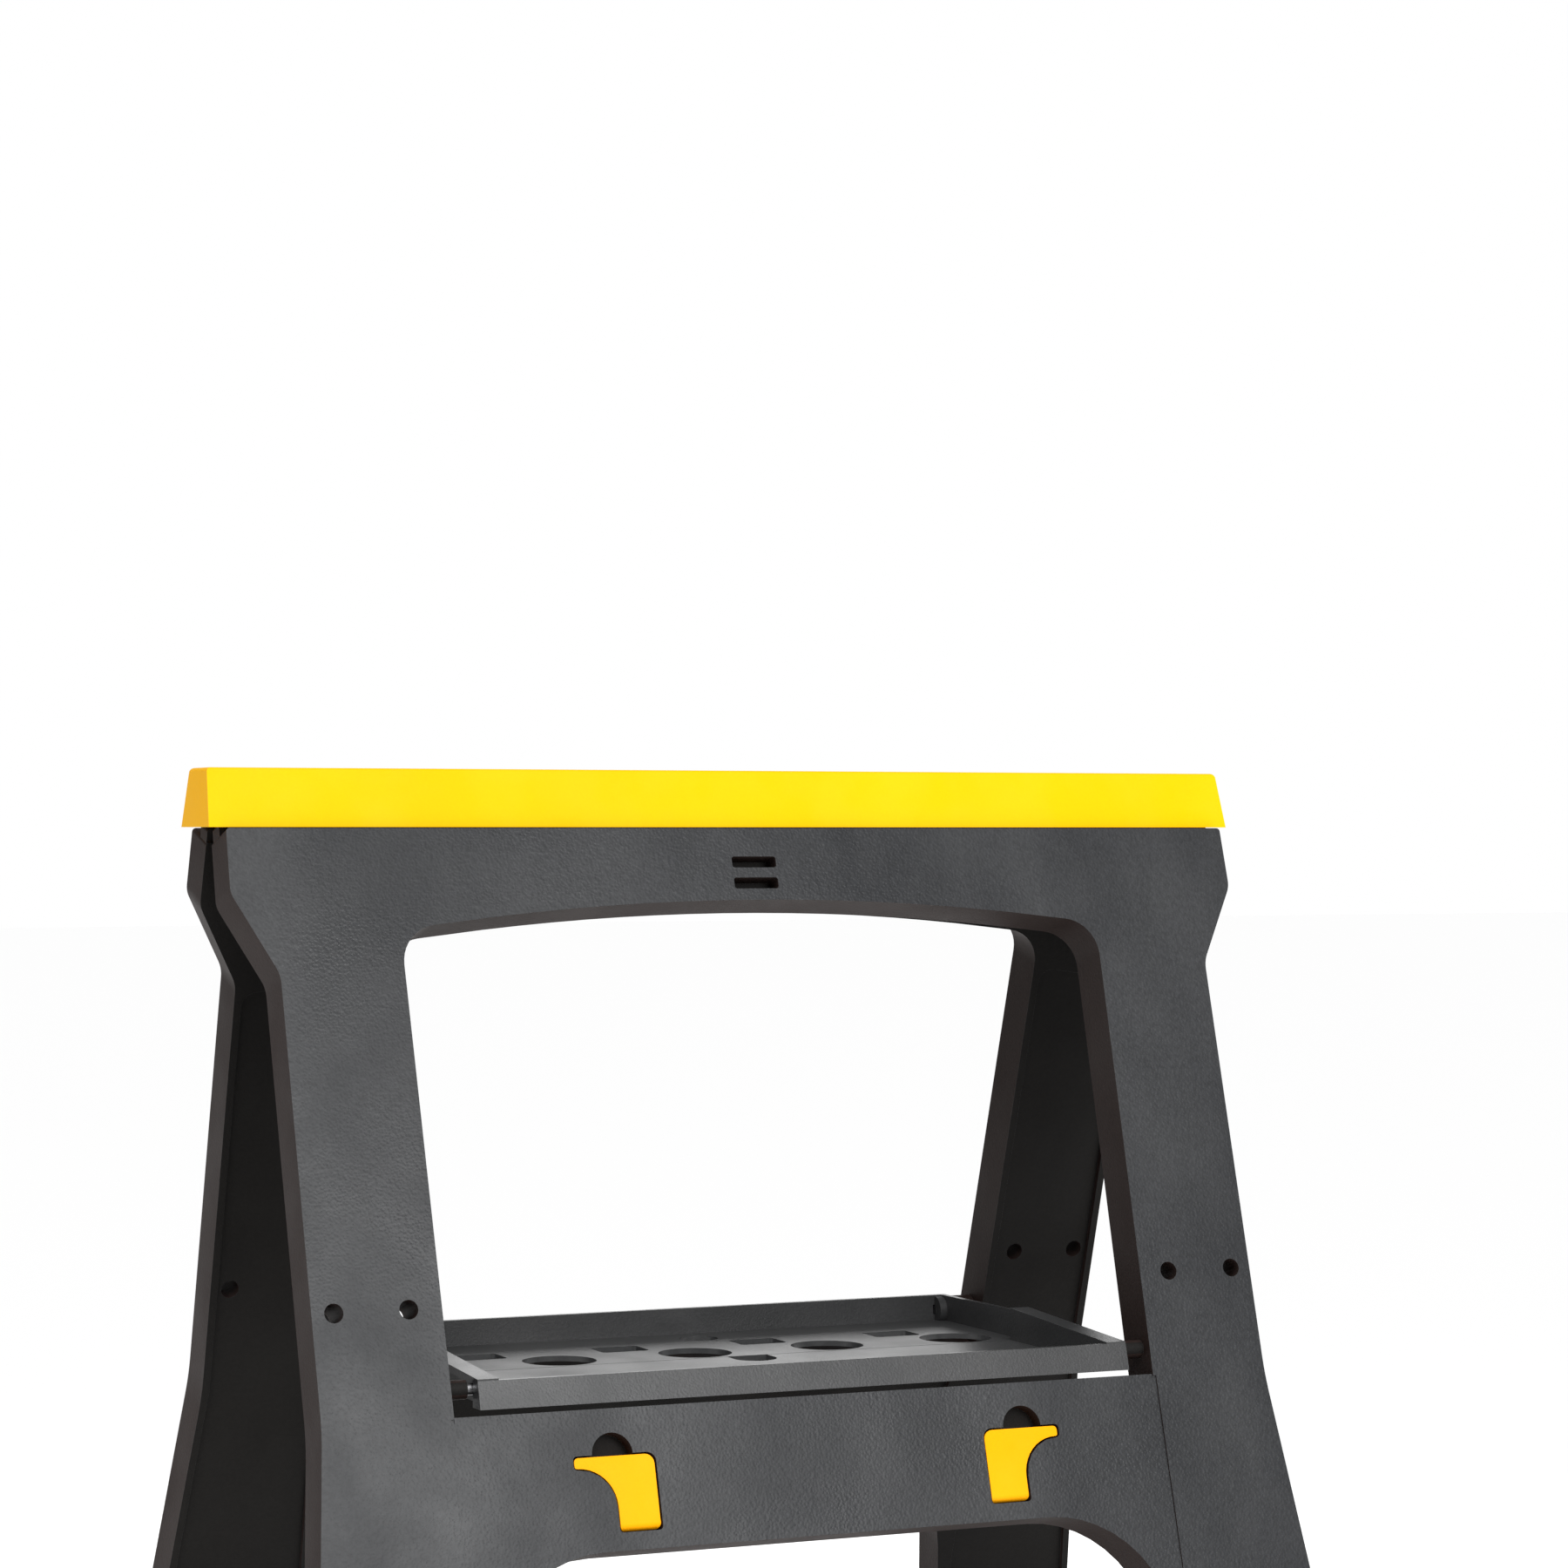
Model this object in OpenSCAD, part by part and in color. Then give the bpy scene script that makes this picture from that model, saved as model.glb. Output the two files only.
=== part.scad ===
// Folding sawhorse: a top on a hinge rod, two leg frames, a folding shelf and two cord hooks.
// Standing open, floor at z = 0, the top runs along X and the front frame faces -Y.

/* [Top] */
// height of the working top above the floor, standing open
stand_h = 810; // [700:1:900]
// length of the top along its lower edge
top_len = 603; // [560:1:640]
// height of the top, from its lower edge to the working face
top_h = 31; // [26:1:40]
// width of the working face
face_w = 32; // [24:1:40]
// width of the top along its lower edge
skirt_w = 52; // [46:1:60]
// wall of the top moulding
top_wall = 3.6; // [2.5:0.1:5]

/* [Leg frames] */
// lean of each frame from upright, standing open
lean = 16.5; // [14:0.5:18]
// thickness of a frame
frame_t = 28; // [24:1:32]
// half width of a frame at its shoulders, just below the top
shoulder_x = 294.5; // [280:0.5:300]
// half width of a frame at the neck under the shoulders
neck_x = 271.5; // [255:0.1:285]
// half width of a frame at the beam, where the legs start to splay
knee_x = 270.4; // [255:0.1:285]
// half width of a frame at the floor
foot_x = 319; // [300:1:335]
// half width of the upper window
window_x = 202.5; // [195:0.1:206]
// distance from the hinge down the frame to the crown of the window
window_top = 56.4; // [52:0.1:66]
// distance down the frame to the top of the beam
beam_top = 328.2; // [327:0.1:332]
// distance down the frame to the underside of the beam
beam_bottom = 397.6; // [394:0.1:410]
// half width of the arch between the legs, just under the beam
arch_x = 186; // [176:1:192]
// half width of the arch at the floor
arch_foot_x = 244; // [230:1:256]
// diameter of the holes through the legs
leg_hole_d = 10; // [8:0.5:12]
// height of the rubber feet
pad_h = 10; // [6:1:16]

/* [Shelf] */
// half width of the shelf
shelf_x = 186.5; // [180:0.5:188]
// height of the shelf floor above the ground
shelf_z = 487.8; // [487:0.1:489]
// thickness of the shelf floor
shelf_t = 3; // [2.5:0.1:4]
// wall of the shelf rims
rim_t = 3.5; // [3:0.1:4]
// top of the front lip above the ground
lip_z = 498.9; // [498:0.1:500]
// top of the back rim above the ground
back_rim_z = 502.3; // [500:0.1:504]
// distance from the hinge down the frame to the shelf pins
pin_s = 309.7; // [309:0.1:311]
// distance from the folding plane out to the shelf pins
pin_n = 16; // [14:0.5:18]
// diameter of the shelf pins
pin_d = 6; // [5:0.5:7]
// diameter of the round tool holes
tool_hole_d = 41; // [30:1:42]
// pitch of the round tool holes
tool_pitch = 80.5; // [70:0.5:82]
// pitch of the square tool slots
slot_pitch = 84; // [70:1:86]

/* [Cord hooks] */
// distance of the upright of a cord hook from the middle
hook_x = 105.7; // [95:0.1:115]
// width of the upright of a cord hook
hook_w = 22; // [18:1:26]
// thickness of a cord hook
hook_t = 7.2; // [6:0.2:8]

/* [Hidden] */
$fn = 48;
hinge_z = stand_h - top_h + 7;       // height of the hinge rod
rod_d = 8;
knuckle_r = 7;
run = 0.05;                           // radial clearance of a running pin
part_gap = 0.5;                       // the frames stop this far from the folding plane
tongue_n = [2, 14];                   // the thin upper edge of a frame, inside the top
shoulder_s = 16.0;                    // where the full thickness of a frame starts
web_x = [105, 215, 286];              // cross webs inside the top
web_t = 4;
knuckles = [[-281, -221], [-60, -1], [111, 209]];
leg_hole_s = 269.5;
leg_hole_x = [219.4, 258.9];
rim_w = 4;                            // rim left round the pockets in the inner side
pocket_depth = 3;
band_depth = 1;                       // the beam face lies this far behind the leg faces
foot_s = (hinge_z + frame_t * sin(lean)) / cos(lean) + 4;
pin_y = pin_n * cos(lean) + pin_s * sin(lean);
pin_z = hinge_z - pin_s * cos(lean) + pin_n * sin(lean);
seam_z = shelf_z - shelf_t - 3.5;     // hinge line between the shelf leaves
seam_r = 4.5;
seam_pin_d = 4;
seam_gap = 0.4;
leaf_in = shelf_x - 8;                // outside of the front leaf's inner wall
pin_reach = leaf_in + 0.8;            // inner end of the latch pins
hook_axis_s = 384.2;
hook_axis_n = frame_t - band_depth - 0.8 - hook_t / 2;
hook_top_s = 349.4;
hook_r = hook_t / 2;
hook_arm = 21.7;                       // how far the arm reaches past the upright
hook_arm_h = 5.5;

graphite = [0.33, 0.33, 0.335];
shelf_grey = [0.42, 0.42, 0.42];
safety_yellow = [0.99, 0.83, 0.03];
steel = [0.74, 0.75, 0.76];
rubber_black = [0.08, 0.08, 0.085];

// ---- outlines with rounded corners: each point is [x, y, radius] ----
function unit(v) = v / norm(v);
function arc_steps(r) = r > 20 ? 10 : 5;
function corner(p, a, b, r) =
    r <= 0 ? [[p[0], p[1]]] :
    let (q = [p[0], p[1]], u = unit([a[0], a[1]] - q), v = unit([b[0], b[1]] - q),
        half = acos(u * v) / 2, c = q + unit(u + v) * r / sin(half),
        s0 = q + u * r / tan(half) - c, s1 = q + v * r / tan(half) - c,
        w = 180 - 2 * half, n = arc_steps(r))
    [for (i = [0:n]) c + (sin((1 - i / n) * w) * s0 + sin(i / n * w) * s1) / sin(w)];
function rounded(pts) =
    let (n = len(pts))
    [for (i = [0:n - 1]) each corner(pts[i], pts[(i + n - 1) % n], pts[(i + 1) % n], pts[i][2])];
function mirrored(pts) = concat(pts, [for (i = [len(pts) - 1:-1:0]) [-pts[i][0], pts[i][1], pts[i][2]]]);

// ---- placing ----
// A frame is drawn hanging straight down from the hinge: x across, outward is -Y, down is -Z.
module front_place() { translate([0, 0, hinge_z]) rotate([-lean, 0, 0]) children(); }
module rear_place() { rotate([0, 0, 180]) front_place() children(); }
// a flat outline in (x, -s), from n0 to n1 outward
module slab(n0, n1) { translate([0, -n0, 0]) rotate([90, 0, 0]) linear_extrude(n1 - n0) children(); }
module along_x(x0, x1) { translate([x0, 0, 0]) rotate([90, 0, 90]) linear_extrude(x1 - x0) children(); }
module rod_x(x0, x1, d) { translate([x0, 0, 0]) rotate([0, 90, 0]) cylinder(h = x1 - x0, d = d); }
// the block of space between two heights above the floor, seen from a hanging frame
module level(z0, z1) {
    rotate([lean, 0, 0]) translate([-500, -600, z0 - hinge_z]) cube([1000, 1200, z1 - z0]);
}

// ---- the top: skirted cap with cross webs that hold the hinge rod ----
module cap_section(in, z1) {
    polygon(rounded([[-skirt_w / 2 + in, 0, 0], [-face_w / 2 + in, z1, in > 0 ? 1 : 2.5],
        [face_w / 2 - in, z1, in > 0 ? 1 : 2.5], [skirt_w / 2 - in, 0, 0]]));
}
module cap_web(x) {
    translate([0, 0, hinge_z]) rod_x(x - web_t / 2, x + web_t / 2, 2 * knuckle_r);
    translate([0, 0, stand_h - top_h]) intersection() {
        along_x(x - web_t / 2, x + web_t / 2) cap_section(1, top_h - 2);
        translate([x - 5, -50, 8]) cube([10, 100, top_h]);
    }
}
module top_cap() color(safety_yellow) difference() {
    union() {
        translate([0, 0, stand_h - top_h]) difference() {
            intersection() {
                along_x(-top_len / 2, top_len / 2) cap_section(0, top_h);
                translate([0, skirt_w, 0]) slab(0, 2 * skirt_w)
                    polygon(rounded([[-top_len / 2, 0, 0], [-top_len / 2 + 1.6, top_h, 2.5],
                        [top_len / 2 - 1.6, top_h, 2.5], [top_len / 2, 0, 0]]));
            }
            translate([0, 0, -1]) along_x(-top_len / 2 + top_wall, top_len / 2 - top_wall)
                cap_section(top_wall, top_h - top_wall + 1);
        }
        for (side = [-1, 1], x = web_x) cap_web(side * x);
    }
    translate([0, 0, hinge_z]) rod_x(-295, 295, rod_d);
}
module hinge_rod() color(steel) translate([0, 0, hinge_z]) rod_x(-292, 292, rod_d);
module rod_clip(side) color(steel) translate([side * 289.5, 0, hinge_z]) difference() {
    rod_x(-1, 1, 14);
    rod_x(-2, 2, rod_d);
}
module rod_clip_left() rod_clip(-1);
module rod_clip_right() rod_clip(1);

// ---- leg frames ----
module frame_outline() polygon(rounded(mirrored([
    [shoulder_x - 0.5, -shoulder_s, 2], [shoulder_x, -50.8, 14], [neck_x, -94.4, 18],
    [knee_x, -beam_top - 1, 200], [foot_x, -foot_s, 4]])));
function crown(x) = -(window_top + x * x / 2800);
module window_outline() polygon(rounded(mirrored(concat([for (x = [10:20:170]) [x, crown(x), 0]], [
    [window_x + 2.4, crown(window_x), 21], [window_x - 1.8, -beam_top, 0]]))));
module arch_outline() polygon(rounded(mirrored([
    [arch_x, -beam_bottom, 68], [arch_foot_x, -foot_s - 2, 0]])));
// shallow pockets in the inner side: one down each leg, one along the rail, one behind the beam
module leg_pocket() polygon(rounded([
    [window_x + 2.4 + rim_w, -92, 8], [neck_x - rim_w, -100, 8], [knee_x - rim_w, -beam_top, 0],
    [foot_x - rim_w - 4, -foot_s + 44, 6], [arch_foot_x + rim_w - 4, -foot_s + 44, 6],
    [arch_x + rim_w + 14, -beam_bottom - 70, 20], [window_x - 1 + rim_w, -beam_bottom + 6, 6],
    [window_x - 1.8 + rim_w, -beam_top, 0]]));
module rail_pocket() polygon(rounded(mirrored(concat([for (x = [10:20:170]) [x, crown(x) + 5, 0]], [
    [198, crown(198) + 5, 5], [206, -24, 5]]))));
module beam_pocket() polygon(rounded(mirrored([[192, -beam_top - 6, 5], [172, -beam_bottom + 6, 8]])));
module rail_slots() for (s = [32.1, 43.9])
    slab(frame_t - 12, frame_t + 1) polygon(rounded([
        [-13, -s, 1.5], [13, -s, 1.5], [13, -s - 6.2, 1.5], [-13, -s - 6.2, 1.5]]));
module knuckle(x0, x1) {
    rod_x(x0, x1, 2 * knuckle_r);
    along_x(x0, x1) polygon([[-tongue_n[1], -12], [-tongue_n[1], -5], [-5, 4], [0, 0], [-tongue_n[0], -12]]);
}
module frame_body() difference() {
    slab(part_gap, frame_t) frame_outline();
    slab(-1, frame_t + 1) window_outline();
    slab(-1, frame_t + 1) arch_outline();
    slab(-1, part_gap + pocket_depth) {
        leg_pocket();
        mirror([1, 0, 0]) leg_pocket();
        rail_pocket();
        beam_pocket();
    }
    slab(frame_t - band_depth, frame_t + 1)
        polygon([[-window_x, -beam_top + 2], [window_x, -beam_top + 2],
            [window_x, -560], [-window_x, -560]]);
    rail_slots();
}
module frame_blank() difference() {
    union() {
        frame_body();
        slab(tongue_n[0], tongue_n[1])
            polygon(rounded([[-293.5, -9, 2], [293.5, -9, 2], [293.5, -20, 0], [-293.5, -20, 0]]));
        for (k = knuckles) knuckle(k[0], k[1]);
        // raised outer edge of the beam; its back slopes clear of the shelf lip
        along_x(2 - window_x, window_x - 2) polygon([
            [-frame_t + band_depth, 3 - beam_top], [-24, 1.4 - beam_top], [-20, -beam_top - 0.2],
            [-15, -beam_top - 2], [-frame_t + band_depth, -beam_top - 5]]);
    }
    rod_x(-300, 300, rod_d + 2 * run);
    for (k = web_x, side = [-1, 1]) rod_x(side * k - 4, side * k + 4, 2 * knuckle_r + 2);
    for (k = knuckles) rod_x(-k[1] - 0.6, -k[0] + 0.6, 2 * knuckle_r + 2);
    for (side = [-1, 1], x = leg_hole_x) translate([side * x, 1, -leg_hole_s])
        rotate([90, 0, 0]) cylinder(h = frame_t + 2, d = leg_hole_d);
    level(-50, pad_h);
    for (side = [-1, 1]) foot_plug(side, 1);
}
// the plug of a rubber foot, pushed up into the end of a leg
module foot_plug(side, top) intersection() {
    slab(8, 20.5) translate([side * 281 - 20, -foot_s]) square([40, 30 + top]);
    level(pad_h - 0.5, 100);
}
module foot_pad(side) color(rubber_black) {
    intersection() {
        slab(part_gap, frame_t) difference() { frame_outline(); arch_outline(); }
        level(0, pad_h);
        translate([side > 0 ? 100 : -500, -100, -1000]) cube([400, 200, 1000]);
    }
    foot_plug(side, 0);
}
module pin_seat(side, x) translate([0, -pin_n, -pin_s])
    rod_x(side > 0 ? x : -x - 14, side > 0 ? x + 14 : -x, pin_d);

// ---- cord hooks, drawn on the hanging front frame ----
// the bottom edge is drawn at end_s, with corners of radius end_r
module hook_outline(grow, end_s, end_r) {
    o = grow;
    x0 = hook_x - hook_w / 2 - o;
    x1 = hook_x + hook_w / 2 + o;
    polygon(rounded([
        [x0, -end_s, end_r], [x0, -hook_top_s + o, 5],
        [x1 + hook_arm, -hook_top_s + o, 2.2], [x1 + hook_arm, -hook_top_s - hook_arm_h - o, 1.2 + o],
        [x1, -hook_top_s - hook_arm_h - o, 20.2 - o], [x1, -end_s, end_r]]));
}
module hook_pocket() {
    depth = [hook_axis_n - hook_r - 0.5, frame_t + 1];
    slab(depth[0], depth[1]) hook_outline(0.8, hook_axis_s + hook_r + 0.6, 2);
    // half-round finger recess above the hook
    translate([hook_x + 11.8, -depth[0], -hook_top_s + 0.6]) rotate([90, 0, 0]) cylinder(h = 20, r = 11.2);
    translate([0, -hook_axis_n, -hook_axis_s])
        rod_x(hook_x - hook_w / 2 - 4, hook_x + hook_w / 2 + 4, 4 + 2 * run);
}
module cord_hook() color(safety_yellow) {
    // a flat plate whose lower end is turned round about the swing axis
    intersection() {
        slab(hook_axis_n - hook_r, hook_axis_n + hook_r) hook_outline(0, hook_axis_s + hook_r, 2.6);
        union() {
            slab(hook_axis_n - hook_r - 1, hook_axis_n + hook_r + 1)
                translate([hook_x - 50, -hook_axis_s]) square([100, 60]);
            translate([0, -hook_axis_n, -hook_axis_s]) rod_x(hook_x - 50, hook_x + 50, hook_t);
        }
    }
    // pivot stubs on both sides
    translate([0, -hook_axis_n, -hook_axis_s])
        rod_x(hook_x - hook_w / 2 - 3.6, hook_x + hook_w / 2 + 3.6, 4);
}
module cord_hook_right() front_place() cord_hook();
module cord_hook_left() front_place() mirror([1, 0, 0]) cord_hook();

// bosses that carry the shelf pins clear of the window edge
module pin_bosses(d) for (side = [-1, 1]) translate([0, -pin_n, -pin_s])
    rod_x(side > 0 ? shelf_x + 3 : -window_x, side > 0 ? window_x : -shelf_x - 3, d);
module front_frame() color(graphite) front_place() difference() {
    union() {
        frame_blank();
        pin_bosses(10);
    }
    for (side = [-1, 1], x = [shelf_x + 2, window_x - 3]) pin_seat(side, x);
    hook_pocket();
    mirror([1, 0, 0]) hook_pocket();
}
module rear_frame() color(graphite) rear_place() difference() {
    union() {
        frame_blank();
        pin_bosses(16);
    }
    for (side = [-1, 1], x = [shelf_x + 2, window_x - 3]) pin_seat(side, x);
}
module front_foot_left() front_place() foot_pad(-1);
module front_foot_right() front_place() foot_pad(1);
module rear_foot_left() rear_place() foot_pad(1);
module rear_foot_right() rear_place() foot_pad(-1);

// ---- shelf pins ----
module shelf_pin(side, x0) translate([0, -pin_n, -pin_s])
    rod_x(side > 0 ? x0 : -window_x - 11, side > 0 ? window_x + 11 : -x0, pin_d);
module latch_pin_left() color(steel) front_place() shelf_pin(-1, pin_reach);
module latch_pin_right() color(steel) front_place() shelf_pin(1, pin_reach);
module shelf_pivot_left() color(steel) rear_place() shelf_pin(1, leaf_in);
module shelf_pivot_right() color(steel) rear_place() shelf_pin(-1, leaf_in);

// ---- shelf: two leaves hinged along the middle ----
rear_seam = [[120, 134], [150, 164]];
front_seam = [[134.5, 149.5]];
module seam_knuckle(x0, x1, dir) for (side = [-1, 1]) {
    a = side > 0 ? x0 : -x1;
    b = side > 0 ? x1 : -x0;
    translate([0, 0, seam_z]) rod_x(a, b, 2 * seam_r);
    translate([a, dir > 0 ? 0 : -10, seam_z]) cube([b - a, 10, 4.5]);
}
module seam_relief(x0, x1) for (side = [-1, 1])
    translate([0, 0, seam_z]) rod_x(side > 0 ? x0 - 0.5 : -x1 - 0.5, side > 0 ? x1 + 0.5 : -x0 + 0.5,
        2 * seam_r + 1.2);
// a side wall whose top slopes from z0 at the seam to z1 at its far end
module side_wall(y1, z0, z1, t_in, t_out) for (side = [-1, 1])
    along_x(side > 0 ? t_in : -t_out, side > 0 ? t_out : -t_in)
        polygon([[0, shelf_z - shelf_t], [y1, shelf_z - shelf_t], [y1, z1], [0, z0]]);
module tool_slot(x) translate([x, 54, 475]) linear_extrude(20)
    polygon(rounded([[-14, -11, 3], [14, -11, 3], [14, 11, 3], [-14, 11, 3]]));
module shelf_rear_leaf() color(shelf_grey) difference() {
    union() {
        difference() {
            union() {
                translate([-shelf_x, seam_gap, shelf_z - shelf_t])
                    cube([2 * shelf_x, pin_y + 4 - seam_gap, shelf_t]);
                intersection() {
                    side_wall(pin_y + 4, 503.4, back_rim_z, shelf_x - rim_t, shelf_x);
                    translate([-300, seam_gap, 400]) cube([600, 300, 200]);
                }
                translate([-shelf_x, pin_y + 4 - rim_t, shelf_z - shelf_t])
                    cube([2 * shelf_x, rim_t, back_rim_z - shelf_z + shelf_t]);
            }
            for (i = [0:3]) translate([-90 + i * tool_pitch, 22.5, 475]) cylinder(h = 20, d = tool_hole_d);
            for (i = [0:3]) tool_slot((i - 1.5) * slot_pitch);
            translate([17, 80, 475]) cylinder(h = 20, d = 22);
            for (k = front_seam) seam_relief(k[0], k[1]);
        }
        for (k = rear_seam) seam_knuckle(k[0], k[1], 1);
        // ears round the pivots
        for (side = [-1, 1]) translate([0, pin_y, pin_z])
            rod_x(side > 0 ? leaf_in : -shelf_x, side > 0 ? shelf_x : -leaf_in, 16);
    }
    translate([0, pin_y, pin_z]) rod_x(-shelf_x - 1, -leaf_in + 1, pin_d + 2 * run);
    translate([0, pin_y, pin_z]) rod_x(leaf_in - 1, shelf_x + 1, pin_d + 2 * run);
    translate([0, 0, seam_z]) rod_x(-170, 170, seam_pin_d);
}
module lip_section() {
    y_at = function (z) -(frame_t + (hinge_z - z) * sin(lean)) / cos(lean);
    polygon([[y_at(shelf_z - shelf_t), shelf_z - shelf_t], [y_at(lip_z), lip_z],
        [y_at(lip_z) + rim_t, lip_z], [y_at(shelf_z - shelf_t) + rim_t + 0.6, shelf_z - shelf_t]]);
}
module shelf_front_leaf() color(shelf_grey) difference() {
    union() {
        difference() {
            union() {
                translate([-leaf_in, -115.5, shelf_z - shelf_t])
                    cube([2 * leaf_in, 115.5 - seam_gap, shelf_t]);
                intersection() {
                    union() {
                        side_wall(-114, 506.3, lip_z + 0.9, leaf_in - rim_t, leaf_in);
                        // hood that laps over the latch pins
                        for (side = [-1, 1]) along_x(side > 0 ? leaf_in - 1 : -shelf_x,
                            side > 0 ? shelf_x : 1 - leaf_in)
                            polygon([[0, 502.3], [-90, pin_z + pin_d / 2 + 0.5],
                                [-114, pin_z + pin_d / 2 + 0.5], [-114, lip_z + 0.9],
                                [-100, 500.6], [0, 506.3]]);
                    }
                    translate([-300, -300 - seam_gap, 400]) cube([600, 300, 200]);
                }
                along_x(-shelf_x, shelf_x) lip_section();
                // stops in front of the latch pins
                for (side = [-1, 1]) translate([side > 0 ? leaf_in - 1 : -shelf_x, -113.5, shelf_z - shelf_t])
                    cube([shelf_x - leaf_in + 1, 113.5 - pin_y - pin_d / 2 - 0.5, lip_z - shelf_z + shelf_t]);
            }
            // finger notch at the seam
            translate([12, -11, 475]) cylinder(h = 20, d = 24);
            translate([0, -11, 475]) cube([24, 11.5, 20]);
            for (k = rear_seam) seam_relief(k[0], k[1]);
        }
        for (k = front_seam) seam_knuckle(k[0], k[1], -1);
    }
    translate([0, 0, seam_z]) rod_x(-170, 170, seam_pin_d + 2 * run);
}
module seam_pin(side) color(steel) translate([0, 0, seam_z])
    rod_x(side > 0 ? 119 : -165, side > 0 ? 165 : -119, seam_pin_d);
module seam_pin_left() seam_pin(-1);
module seam_pin_right() seam_pin(1);

top_cap();
hinge_rod();
rod_clip_left();
rod_clip_right();
front_frame();
front_foot_left();
front_foot_right();
latch_pin_left();
latch_pin_right();
cord_hook_left();
cord_hook_right();
rear_frame();
rear_foot_left();
rear_foot_right();
shelf_pivot_left();
shelf_pivot_right();
shelf_rear_leaf();
seam_pin_left();
seam_pin_right();
shelf_front_leaf();
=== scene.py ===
# %% [markdown]
# # A folding sawhorse, finished in Blender
# This lesson gives every piece the soft moulded edges and the finishes of the real thing, then sets
# up the light and the camera.

# %% Load the frame
import math

import bmesh
import bpy
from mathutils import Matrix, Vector


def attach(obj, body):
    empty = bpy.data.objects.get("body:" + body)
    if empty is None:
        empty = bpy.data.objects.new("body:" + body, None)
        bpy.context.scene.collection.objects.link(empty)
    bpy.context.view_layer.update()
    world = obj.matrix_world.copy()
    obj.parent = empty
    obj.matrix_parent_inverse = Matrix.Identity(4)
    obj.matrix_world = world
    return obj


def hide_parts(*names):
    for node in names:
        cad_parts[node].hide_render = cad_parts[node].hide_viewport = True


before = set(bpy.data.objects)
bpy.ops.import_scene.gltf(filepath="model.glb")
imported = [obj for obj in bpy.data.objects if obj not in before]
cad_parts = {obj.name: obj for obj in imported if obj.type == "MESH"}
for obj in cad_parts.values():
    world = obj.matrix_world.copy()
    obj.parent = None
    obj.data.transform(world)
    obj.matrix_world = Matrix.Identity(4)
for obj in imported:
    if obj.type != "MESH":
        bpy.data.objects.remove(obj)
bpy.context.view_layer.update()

# %% [markdown]
# ## The camera comes first
# The camera decides which edges are seen and how much they overlap. It stands a little below the
# working top, to the left of the front frame, and looks very slightly upwards, so the top's upper
# face never shows. A camera can be aimed with a constraint or a matrix, but two angles are easier
# to read and to change, so they are used here.

# %% The camera
view_turn = math.radians(24.166)    # round from square-on, towards the left end
view_tilt = math.radians(0.674)     # upwards
camera_data = bpy.data.cameras.new("studio_camera")
camera_data.sensor_width = 36.0
camera_data.lens = 92.184
camera_data.clip_start, camera_data.clip_end = 0.05, 60.0
studio_camera = bpy.data.objects.new("studio_camera", camera_data)
bpy.context.scene.collection.objects.link(studio_camera)
studio_camera.location = (-0.87706, -2.03128, 0.77685)
studio_camera.rotation_euler = (math.pi / 2 + view_tilt, 0.0, -view_turn)
bpy.context.scene.camera = studio_camera
print("camera stands", round(studio_camera.location.length, 2), "m from the middle of the plan")

# %% [markdown]
# ## Softening a moulding
# A moulded part never has a knife edge: the tool that made it was rounded so the part would let go.
# Each piece could be modelled again with round edges, but then it might drift from the checked
# sizes. So a copy of the checked mesh is rounded instead. That mesh is loose triangles, so its
# corners are merged and its flat areas are joined back into single faces, and then a Bevel modifier
# rounds what is left. Weighted normals keep the flat faces flat beside their new round edges. The
# copy rides on the same body and stands in for the original.

# %% A rounded copy of an imported piece
same_corner = 0.00002                   # metres: closer points than this are one corner
flat_within = math.radians(0.8)         # faces that turn less than this are one flat face
round_above = math.radians(28.0)        # edges that turn more than this are rounded


def soften(node, body, radius, name):
    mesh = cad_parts[node].data.copy()
    mesh.name = name
    work = bmesh.new()
    work.from_mesh(mesh)
    bmesh.ops.remove_doubles(work, verts=work.verts, dist=same_corner)
    bmesh.ops.dissolve_limit(work, angle_limit=flat_within, verts=work.verts, edges=work.edges)
    for face in work.faces:
        face.smooth = True
    work.to_mesh(mesh)
    work.free()
    mesh.materials.clear()
    piece = bpy.data.objects.new(name, mesh)
    bpy.context.scene.collection.objects.link(piece)
    rounding = piece.modifiers.new("moulded edge", "BEVEL")
    rounding.width = radius
    rounding.segments = 3
    rounding.limit_method = "ANGLE"
    rounding.angle_limit = round_above
    rounding.use_clamp_overlap = True
    rounding.face_strength_mode = "FSTR_ALL"
    flats = piece.modifiers.new("flat faces stay flat", "WEIGHTED_NORMAL")
    flats.weight = 100
    flats.keep_sharp = False
    flats.use_face_influence = True
    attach(piece, body)
    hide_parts(node)
    print(name, "has", len(mesh.polygons), "faces before its edges are rounded")
    return piece


# %% [markdown]
# ## Layers of a moulded plastic
# The frames are filled polypropylene out of a spark-eroded tool, so they carry an even pebble grain
# that breaks up the light a little. Painted textures could show that, but they need unwrapping and
# slide when a piece is changed. Layers of noise need neither. Every layer is read from Object
# coordinates, so it stays fixed to its piece when the stand folds.

# %% Small helpers for the node graphs
def new_material(name):
    material = bpy.data.materials.new(name)
    material.use_nodes = True
    nodes, links = material.node_tree.nodes, material.node_tree.links
    place = nodes.new("ShaderNodeTexCoord").outputs["Object"]
    return material, nodes, links, nodes["Principled BSDF"], place


def noise(nodes, links, vector, scale, detail):
    node = nodes.new("ShaderNodeTexNoise")
    node.inputs["Scale"].default_value = scale
    node.inputs["Detail"].default_value = detail
    links.new(vector, node.inputs["Vector"])
    return node.outputs["Fac"]


def stretched_noise(nodes, links, place, squeeze, detail):
    mapping = nodes.new("ShaderNodeMapping")
    mapping.inputs["Scale"].default_value = squeeze
    links.new(place, mapping.inputs["Vector"])
    return noise(nodes, links, mapping.outputs["Vector"], scale=1.0, detail=detail)


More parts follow.
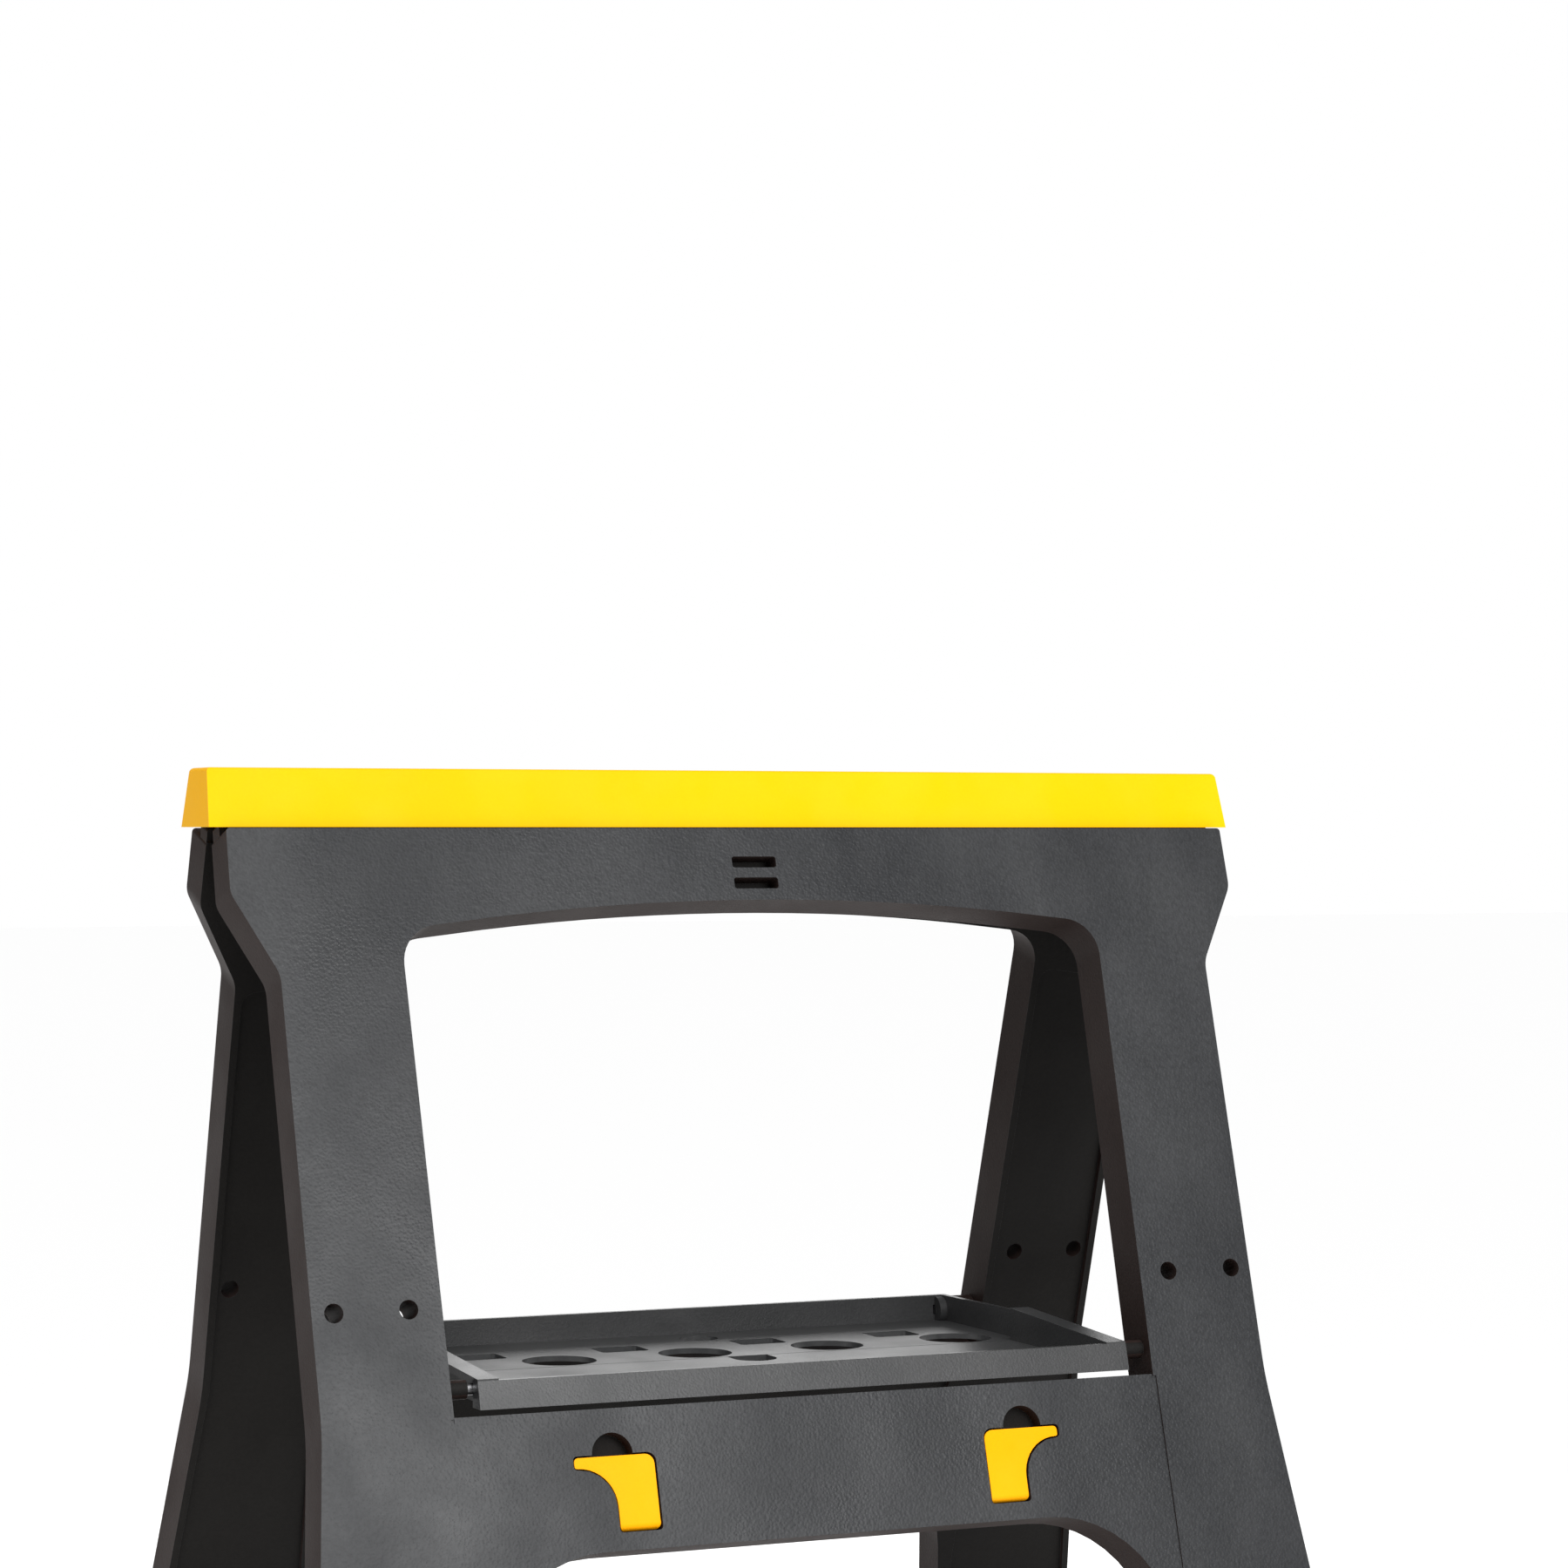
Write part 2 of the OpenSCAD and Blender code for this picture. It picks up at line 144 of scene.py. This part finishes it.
def ramp(nodes, links, value, low, high, low_at, high_at):
    node = nodes.new("ShaderNodeValToRGB")
    node.color_ramp.elements[0].position, node.color_ramp.elements[1].position = low_at, high_at
    node.color_ramp.elements[0].color, node.color_ramp.elements[1].color = low, high
    links.new(value, node.inputs["Fac"])
    return node.outputs["Color"]


def grey(value):
    return (value, value, value, 1)


# %% [markdown]
# The colour is built in three layers. It drifts in long soft clouds where the melt flowed, a fine
# speck is multiplied over it, and patches of it are rubbed paler.

# %% The colour layers
def flow_clouds(nodes, links, place, colour, drift, clouds):
    flow = stretched_noise(nodes, links, place, squeeze=clouds, detail=4.0)
    return ramp(nodes, links, flow, (*colour, 1), (*drift, 1), low_at=0.38, high_at=0.66)


def fine_speck(nodes, links, place, under, grain, speck):
    fine = noise(nodes, links, place, scale=0.55 / grain, detail=2.0)
    pale, deep = grey(1.0 + speck * 0.7), grey(1.0 - speck)
    fine_tone = ramp(nodes, links, fine, deep, pale, low_at=0.35, high_at=0.65)
    speckled = nodes.new("ShaderNodeMix")
    speckled.data_type, speckled.blend_type = "RGBA", "MULTIPLY"
    speckled.inputs["Factor"].default_value = 1.0
    links.new(under, speckled.inputs["A"])
    links.new(fine_tone, speckled.inputs["B"])
    return speckled.outputs["Result"]


def rubbed_patches(nodes, links, place, under, worn, wear):
    rub = noise(nodes, links, place, scale=30.0, detail=6.0)
    rub_band = ramp(nodes, links, rub, grey(0), grey(wear), low_at=0.4, high_at=0.64)
    surface = nodes.new("ShaderNodeMix")
    surface.data_type = "RGBA"
    links.new(rub_band, surface.inputs["Factor"])
    links.new(under, surface.inputs["A"])
    surface.inputs["B"].default_value = (*worn, 1)
    return surface.outputs["Result"]


# %% [markdown]
# The shine needs two more. Hand smudges change only how sharp the reflections are, so they drive
# the roughness. The pebbles of the grain are too small to model, so they are a bump.

# %% The shine layers
def hand_smudges(nodes, links, place, rough):
    smudge = noise(nodes, links, place, scale=13.0, detail=5.0)
    sheen = nodes.new("ShaderNodeMapRange")
    sheen.inputs["From Min"].default_value, sheen.inputs["From Max"].default_value = 0.32, 0.68
    sheen.inputs["To Min"].default_value, sheen.inputs["To Max"].default_value = rough
    links.new(smudge, sheen.inputs["Value"])
    return sheen.outputs["Result"]


def pebble_grain(nodes, links, place, grain, grain_depth):
    pebble = nodes.new("ShaderNodeTexVoronoi")
    pebble.feature = "SMOOTH_F1"
    pebble.inputs["Scale"].default_value = 1.0 / grain
    links.new(place, pebble.inputs["Vector"])
    relief = nodes.new("ShaderNodeBump")
    relief.inputs["Strength"].default_value = grain_depth
    relief.inputs["Distance"].default_value = grain * 0.25
    links.new(pebble.outputs["Distance"], relief.inputs["Height"])
    return relief.outputs["Normal"]


# %% [markdown]
# ## One builder for every plastic
# A separate graph for each plastic would repeat the same layers, so one builder takes what differs:
# the colours, the size of the grain in metres, its depth, the range of roughness and the gloss.

# %% The plastic builder
def moulded(name, colour, drift, worn, grain=0.0011, grain_depth=0.3, rough=(0.42, 0.56),
            wear=0.04, speck=0.1, gloss=0.4, clouds=(7.0, 7.0, 3.0)):
    material, nodes, links, shader, place = new_material(name)
    base = flow_clouds(nodes, links, place, colour, drift, clouds)
    base = fine_speck(nodes, links, place, base, grain, speck)
    base = rubbed_patches(nodes, links, place, base, worn, wear)
    links.new(base, shader.inputs["Base Color"])
    links.new(hand_smudges(nodes, links, place, rough), shader.inputs["Roughness"])
    links.new(pebble_grain(nodes, links, place, grain, grain_depth), shader.inputs["Normal"])
    shader.inputs["Specular IOR Level"].default_value = gloss
    return material


# %% [markdown]
# ## The plastics
# The real stand has three: graphite for the legs, a slightly paler grey for the shelf and yellow
# for the top and the hooks. The graphite also has two darker copies, which are painted shade: a
# dark brown one for the narrow sides and a near-black one for the inner sides of the legs, so
# that faces turned away from the lights read darker. Each plastic that is handled also has a worn
# twin, for the rounded edges only, where hands and boards rub. Finding the edges inside the
# material would be another way, but long thin triangles confuse it.

# %% Graphite
graphite_look = dict(colour=(0.017, 0.018, 0.020), drift=(0.031, 0.032, 0.034),
                     worn=(0.10, 0.10, 0.10), grain=0.0014, grain_depth=0.36, rough=(0.29, 0.46),
                     speck=0.16, gloss=0.32, clouds=(15.0, 15.0, 5.0))
graphite = moulded("graphite_plastic", **graphite_look)
graphite_edge = moulded("graphite_plastic_edge", wear=0.55, **graphite_look)
# Painted shade: the narrow sides take a darker brown graphite and the inner sides a near-black one.
shaded_side_finish = moulded("graphite_shaded_side", (0.0205, 0.0125, 0.0108), (0.027, 0.0175, 0.0155),
                      (0.075, 0.065, 0.06), rough=(0.5, 0.62), gloss=0.1)
shaded_inside_finish = moulded("graphite_shaded_inner_side", (0.0075, 0.0066, 0.0060), (0.0105, 0.0095, 0.0085),
                      (0.03, 0.028, 0.026), rough=(0.55, 0.7), gloss=0.14)
print("graphite finishes:", graphite.name, graphite_edge.name, shaded_side_finish.name, shaded_inside_finish.name)

# %% Shelf grey
shelf_look = dict(colour=(0.028, 0.029, 0.030), drift=(0.040, 0.040, 0.041),
                  worn=(0.12, 0.12, 0.12), rough=(0.3, 0.44), gloss=0.4,
                  clouds=(11.0, 11.0, 11.0))
shelf_grey = moulded("shelf_plastic", **shelf_look)
shelf_edge = moulded("shelf_plastic_edge", wear=0.5, **shelf_look)
print("shelf finishes:", shelf_grey.name, shelf_edge.name)

# %% Yellow for the top, and a deeper yellow for the hooks
yellow_look = dict(colour=(0.99, 0.475, 0.0008), drift=(1.0, 0.505, 0.001),
                   worn=(1.0, 0.68, 0.09), grain=0.0008, grain_depth=0.08, rough=(0.34, 0.44),
                   speck=0.015, gloss=0.06)
hook_look = dict(yellow_look, colour=(0.97, 0.385, 0.0006), drift=(0.99, 0.42, 0.0008))
safety_yellow = moulded("yellow_plastic", **yellow_look)
yellow_edge = moulded("yellow_plastic_edge", wear=0.4, **yellow_look)
hook_yellow = moulded("hook_plastic", **hook_look)
hook_edge = moulded("hook_plastic_edge", wear=0.3, **hook_look)
print("yellow finishes:", safety_yellow.name, yellow_edge.name, hook_yellow.name, hook_edge.name)

# %% [markdown]
# ## Steel and rubber
# The pins are drawn bar, turned to length, so the fine marks run round them. A noise squeezed along
# X gives those rings with no texture to unwrap. The feet are matt rubber: darker, rougher and dusty
# where they meet the floor, which the plastic builder does with other numbers.

# %% Steel and rubber
def drawn_steel(name):
    material, nodes, links, shader, place = new_material(name)
    dull, bright = (0.24, 0.24, 0.25, 1), (0.42, 0.42, 0.43, 1)
    rings = stretched_noise(nodes, links, place, squeeze=(2600.0, 60.0, 60.0), detail=3.0)
    marks = ramp(nodes, links, rings, dull, bright, low_at=0.3, high_at=0.7)
    links.new(marks, shader.inputs["Base Color"])
    polish = nodes.new("ShaderNodeMapRange")
    polish.inputs["To Min"].default_value, polish.inputs["To Max"].default_value = 0.25, 0.45
    links.new(rings, polish.inputs["Value"])
    links.new(polish.outputs["Result"], shader.inputs["Roughness"])
    shader.inputs["Metallic"].default_value = 1.0
    return material


pin_steel = drawn_steel("turned_steel")
rubber_look = dict(colour=(0.014, 0.014, 0.015), drift=(0.024, 0.023, 0.022),
                   worn=(0.07, 0.065, 0.06), grain=0.0016, grain_depth=0.5, rough=(0.7, 0.9),
                   gloss=0.2)
foot_rubber = moulded("foot_rubber", wear=0.3, **rubber_look)
dusty_rubber = moulded("foot_rubber_dusty", wear=0.8, **rubber_look)
print("steel and rubber:", pin_steel.name, foot_rubber.name, dusty_rubber.name)

# %% [markdown]
# ## Dressing a piece
# A piece takes its finishes as material slots, and the worn twin as the last of them. The faces
# that the Bevel modifier adds could be painted by hand once it is applied, but the modifier has a
# setting for the slot they take, which still works when the radius is changed.

# %% Finishes for a piece, and the worn one for its rounded edges
def dress(piece, finishes, edge_finish):
    for finish in (*finishes, edge_finish):
        piece.data.materials.append(finish)
    piece.modifiers["moulded edge"].material = len(finishes)


# %% [markdown]
# ## The top
# On the real stand this is one long yellow moulding, a shallow trough turned upside down over the
# hinge. A box with its ends sloped would look the same from the front, but the imported mesh has
# the webs inside too, so that is what is rounded here. Its edges are rounded generously, because
# boards are dragged over them.

# %% The top
top_cap = soften("top_cap", "top", radius=0.0016, name="sawhorse_top")
dress(top_cap, [safety_yellow], yellow_edge)

# %% [markdown]
# ## The leg frames
# Each frame is a single moulding: two splayed legs, a rail under the top and a beam below the
# window. Only the outward face carries the full grain. The narrow sides get painted shade, a
# darker brown graphite, and the side that faces inwards and the floors of the recesses get a
# near-black painted shade, because these faces are turned away from the lights or sunk in hollows.
# Faces could be picked by hand for this, but there are hundreds of them, so a loop sorts them by
# the way they point and by how far they lie from the hinge line.

# %% The leg frames
hinge_line = Vector((0, 0, 0.786))
outward_rise = 0.3          # how much the leaning outward faces point up
along_normal = 0.75         # an outward or inward face points at least this much that way
recess_depth = 0.0255       # an outward face nearer the hinge line than this is a recess floor
# Slot 0 is the grained face; slots 1 and 2 hold the painted shade for the sides and the insides.
grained, smooth, dark = 0, 1, 2
front_frame = soften("front_frame", "front_legs", radius=0.0015, name="front_leg_frame")
rear_frame = soften("rear_frame", "rear_legs", radius=0.0015, name="rear_leg_frame")
for leg_frame, side in ((front_frame, -1), (rear_frame, 1)):
    dress(leg_frame, [graphite, shaded_side_finish, shaded_inside_finish], graphite_edge)
    outwards = Vector((0, side, outward_rise)).normalized()
    for face in leg_frame.data.polygons:
        facing = face.normal.dot(outwards)
        recessed = (face.center - hinge_line).dot(outwards) < recess_depth
        # Recess floors and inward faces take the near-black painted shade, the other faces the
        # brown one.
        if facing > along_normal:
            face.material_index = dark if recessed else grained
        else:
            face.material_index = dark if facing < -along_normal else smooth
    dark_faces = sum(face.material_index == dark for face in leg_frame.data.polygons)
    print(leg_frame.name, "has", dark_faces, "dark inner faces")

# %% [markdown]
# ## The shelf
# A tool tray in two leaves that meet along the middle. The rear leaf carries the round tool holes
# and the slots; the front leaf ends in a lip that fills the gap in the front frame. Holes could be
# cut here with a Boolean, but they are real holes in the imported mesh already. The leaves are
# thin, so their edges take a smaller radius than the frames'.

# %% The shelf leaves
rear_leaf = soften("shelf_rear_leaf", "rear_leaf", radius=0.0009, name="shelf_back_half")
front_leaf = soften("shelf_front_leaf", "front_leaf", radius=0.0011, name="shelf_front_half")
for leaf in (rear_leaf, front_leaf):
    dress(leaf, [shelf_grey], shelf_edge)

# %% [markdown]
# ## The cord hooks
# Two small yellow hooks lie flush in the beam and swing out about the pins at their lower ends. One
# hook could be modelled and mirrored, but each rides on a body of its own, so a loop finishes both.
# They are a deeper yellow than the top, as parts from another tool and batch often are.

# %% The cord hooks
for hand in ("left", "right"):
    cord_hook = soften("cord_hook_" + hand, hand + "_hook", radius=0.0008,
                       name="cord_hook_yellow_" + hand)
    dress(cord_hook, [hook_yellow], hook_edge)

# %% [markdown]
# ## The feet and the pins
# Rubber feet close the ends of the legs and are softened like the mouldings. The pins and the rod
# could be turned again with a spin, but a plain turned pin is exactly what the imported mesh holds,
# so these keep their mesh and only take their finish.

# %% The feet and the pins
for end in ("front", "rear"):
    for hand in ("left", "right"):
        foot = soften(f"{end}_foot_{hand}", end + "_legs", radius=0.0012,
                      name=f"rubber_foot_{end}_{hand}")
        dress(foot, [foot_rubber], dusty_rubber)
steel_nodes = ["hinge_rod", "rod_clip_left", "rod_clip_right", "latch_pin_left", "latch_pin_right",
               "shelf_pivot_left", "shelf_pivot_right", "seam_pin_left", "seam_pin_right"]
for node in steel_nodes:
    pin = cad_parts[node]
    pin.data.materials.clear()
    pin.data.materials.append(pin_steel)
print(len(steel_nodes), "steel pieces finished")

# %% [markdown]
# ## The floor and the surround
# A stand like this is shown on a sheet of pale paper that curves up behind it. A curved sheet would
# catch shadows in its bend, so a flat floor runs far back instead and meets a white surround. The
# camera sees the surround as plain white, while the light it sheds is softer, so the sides turned
# away from the lights still fall into shade.

# %% The floor
floor_reach = 30.0          # metres each way
floor_work = bmesh.new()
bmesh.ops.create_grid(floor_work, x_segments=1, y_segments=1, size=floor_reach)
floor_mesh = bpy.data.meshes.new("pale_floor")
floor_work.to_mesh(floor_mesh)
floor_work.free()
pale_floor = bpy.data.objects.new("pale_floor", floor_mesh)
bpy.context.scene.collection.objects.link(pale_floor)
floor_paint = bpy.data.materials.new("pale_floor_paint")
floor_paint.use_nodes = True
floor_shader = floor_paint.node_tree.nodes["Principled BSDF"]
floor_shader.inputs["Base Color"].default_value = (0.98, 0.98, 0.98, 1)
floor_shader.inputs["Roughness"].default_value = 0.95
floor_shader.inputs["Specular IOR Level"].default_value = 0.1
floor_mesh.materials.append(floor_paint)
print("the floor reaches", floor_reach, "m each way")

# %% The surround
light_it_sheds, white_it_shows = 0.33, 1.0
world = bpy.data.worlds.new("bright_surround")
world.use_nodes = True
sky_nodes, sky_links = world.node_tree.nodes, world.node_tree.links
sky_light = sky_nodes["Background"]
backdrop = sky_nodes.new("ShaderNodeBackground")
for background, strength in ((sky_light, light_it_sheds), (backdrop, white_it_shows)):
    background.inputs["Color"].default_value = (1, 1, 1, 1)
    background.inputs["Strength"].default_value = strength
seen_or_shed = sky_nodes.new("ShaderNodeMixShader")
light_path = sky_nodes.new("ShaderNodeLightPath")
sky_links.new(light_path.outputs["Is Camera Ray"], seen_or_shed.inputs["Fac"])
sky_links.new(sky_light.outputs["Background"], seen_or_shed.inputs[1])
sky_links.new(backdrop.outputs["Background"], seen_or_shed.inputs[2])
sky_links.new(seen_or_shed.outputs["Shader"], sky_nodes["World Output"].inputs["Surface"])
bpy.context.scene.world = world
print("the surround sheds", light_it_sheds, "of the light it shows")

# %% [markdown]
# ## Three lights
# Black plastic shows its form mostly by what it reflects, so where a light stands matters more than
# how bright it is. A very wide high light from the front left does most of the work. A smaller
# panel stands where the camera finds its reflection in the left leg, so the sheen fades from left
# to right. A low one behind glances off the shelf floor and lets its holes read dark.

# %% The lights
def aim(lamp, spot, target):
    bpy.context.scene.collection.objects.link(lamp)
    lamp.location = spot
    lamp.rotation_euler = (Vector(target) - Vector(spot)).to_track_quat("-Z", "Y").to_euler()


def soft_panel(name, side, watts, spot, target):
    panel = bpy.data.lights.new(name, "AREA")
    panel.shape = "SQUARE"
    panel.size = side
    panel.energy = watts
    aim(bpy.data.objects.new(name, panel), spot, target)


high_data = bpy.data.lights.new("high_soft_light", "SUN")
high_data.energy = 2.75
high_data.angle = math.radians(50)
high_light = bpy.data.objects.new("high_soft_light", high_data)
aim(high_light, spot=(-0.9, -3.2, 4.8), target=(0.0, 0.0, 0.4))
soft_panel("sheen_panel", side=0.8, watts=16.0, spot=(0.4, -2.0, 1.2), target=(-0.15, -0.1, 0.5))
soft_panel("low_back_panel", side=1.3, watts=9.0, spot=(1.0, 2.3, 0.9), target=(0.0, 0.0, 0.49))
bpy.context.scene.view_settings.view_transform = "Standard"
print(len(bpy.data.lights), "lights are in place")
